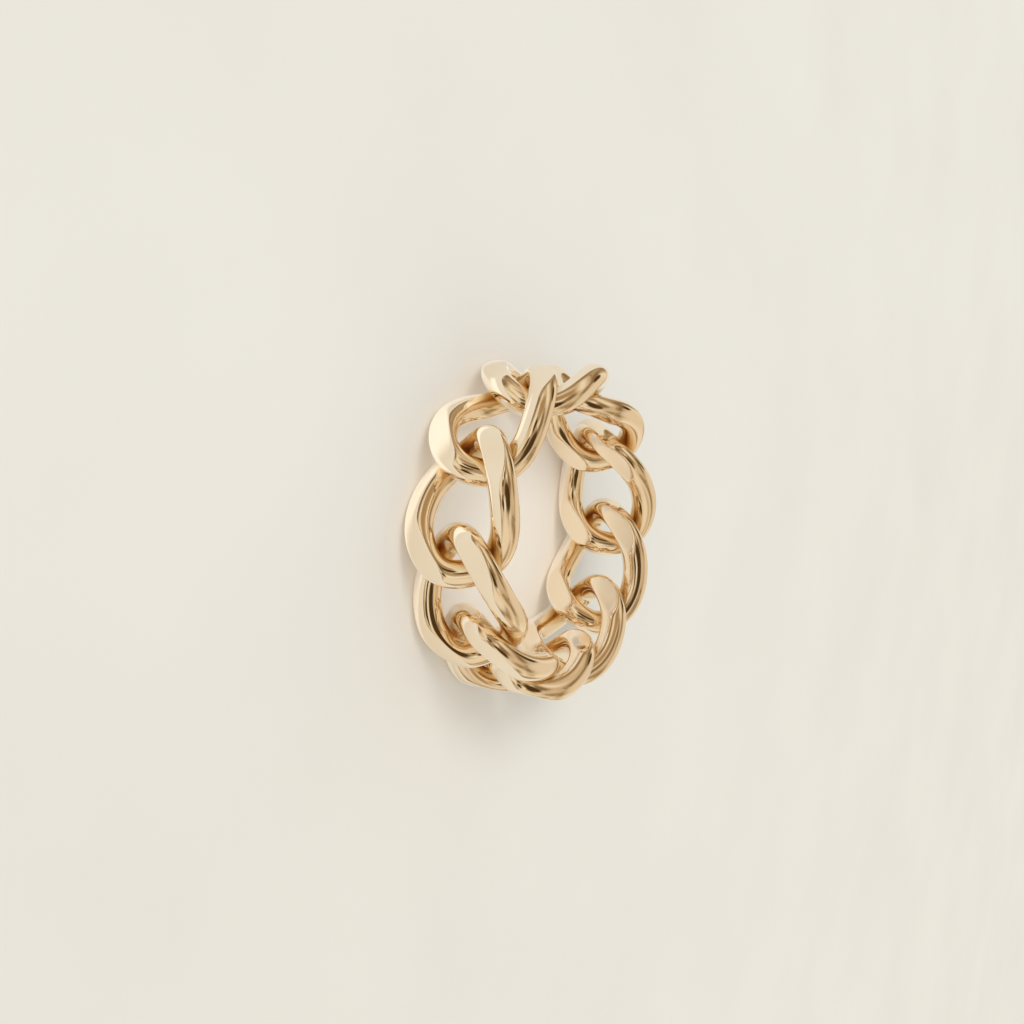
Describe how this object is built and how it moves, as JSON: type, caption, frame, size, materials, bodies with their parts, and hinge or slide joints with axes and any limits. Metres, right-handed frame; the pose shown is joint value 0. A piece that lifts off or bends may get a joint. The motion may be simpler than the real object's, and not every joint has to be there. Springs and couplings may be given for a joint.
{
  "type": "chain link ring",
  "caption": "Finger ring made of a closed band of twisted curb chain links in polished yellow gold, filed flat outside and inside.",
  "frame": {"origin": "on the ring's axis, on the surface that the ring lies on", "axes": "+Z along the ring's axis, straight up from the surface; +Y towards the side of the ring that is uppermost in the picture"},
  "size_m": [0.0218, 0.0218, 0.0074],
  "materials": {
    "gold": "polished pale yellow gold"
  },
  "bodies": {
    "root": {"link_01": "gold", "link_02": "gold", "link_03": "gold", "link_04": "gold", "link_05": "gold", "link_06": "gold", "link_07": "gold", "link_08": "gold", "link_09": "gold", "link_10": "gold"}
  },
  "joints": []
}
